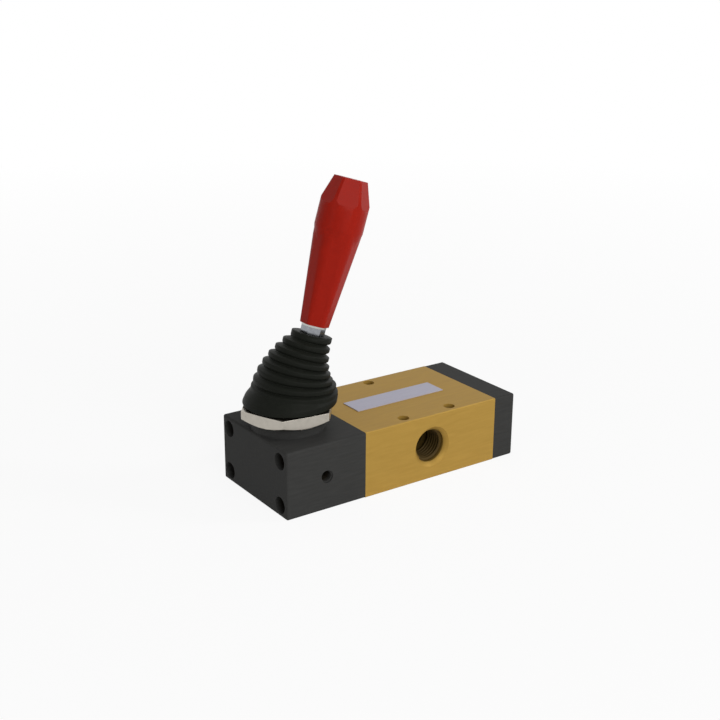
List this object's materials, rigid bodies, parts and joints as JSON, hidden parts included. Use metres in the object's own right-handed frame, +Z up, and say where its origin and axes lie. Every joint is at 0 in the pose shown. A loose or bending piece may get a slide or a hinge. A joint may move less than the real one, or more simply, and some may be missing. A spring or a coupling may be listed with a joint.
{
  "type": "hand lever air valve",
  "caption": "Block-shaped spool valve worked by a leaning hand lever with a ribbed gaiter and a faceted grip; threaded ports front and back.",
  "frame": {"origin": "middle of the underside of the block made by the lever head, body and end cap", "axes": "+X from the lever head to the end cap, +Y to the side with two ports (the single port faces -Y), +Z up; the lever stands at its rest, leaning towards +X"},
  "size_m": [0.1096, 0.0454, 0.1164],
  "materials": {
    "gold_aluminium": "gold anodised, satin",
    "black_aluminium": "black anodised, satin",
    "black_steel": "black oxide",
    "white_polymer": "acetal",
    "seal_rubber": "nitrile rubber",
    "spring_steel": "drawn spring wire",
    "turned_steel": "turned",
    "nickel_nut": "satin nickel plate",
    "gaiter_rubber": "moulded rubber",
    "silver_plate": "satin foil",
    "bright_steel": "polished",
    "brass_insert": "nickel-plated brass",
    "red_plastic": "semi-gloss moulded",
    "spool_aluminium": "ground"
  },
  "bodies": {
    "valve": {"valve_body": "gold_aluminium", "lever_head": "black_aluminium", "end_cap": "black_aluminium", "head_screws": "black_steel", "cap_screws": "black_steel", "head_guide_bush": "white_polymer", "cap_guide_bush": "white_polymer", "spool_seal_1": "seal_rubber", "spool_seal_2": "seal_rubber", "spool_seal_3": "seal_rubber", "spool_seal_4": "seal_rubber", "exhaust_cage": "white_polymer", "outlet_cage": "white_polymer", "supply_cage": "white_polymer", "head_face_seal": "seal_rubber", "cap_face_seal": "seal_rubber", "return_spring": "spring_steel", "ball_seat": "white_polymer", "pivot_bush": "turned_steel", "gaiter_nut": "nickel_nut", "gaiter": "gaiter_rubber", "nameplate": "silver_plate"},
    "lever": {"lever_rod": "bright_steel", "handle_lock_nut": "bright_steel", "handle_insert": "brass_insert", "handle": "red_plastic"},
    "spool": {"spool": "spool_aluminium"}
  },
  "joints": [
    {"name": "lever_tilt", "type": "hinge", "parent": "valve", "child": "lever", "pos_m": [-0.0383, 0, 0.024], "axis": [0, 1, 0], "range_deg": [-34, 0], "stiffness_Nm_per_rad": 0.22, "springref_deg": 31.51, "deforming": ["gaiter"]},
    {"name": "spool_slide", "type": "slide", "parent": "valve", "child": "spool", "axis": [1, 0, 0], "range_m": [0, 0.00645], "deforming": ["return_spring"]}
  ],
  "couplings": [
    {"joint": "spool_slide", "follows": "lever_tilt", "m_per_rad": -0.010839}
  ]
}
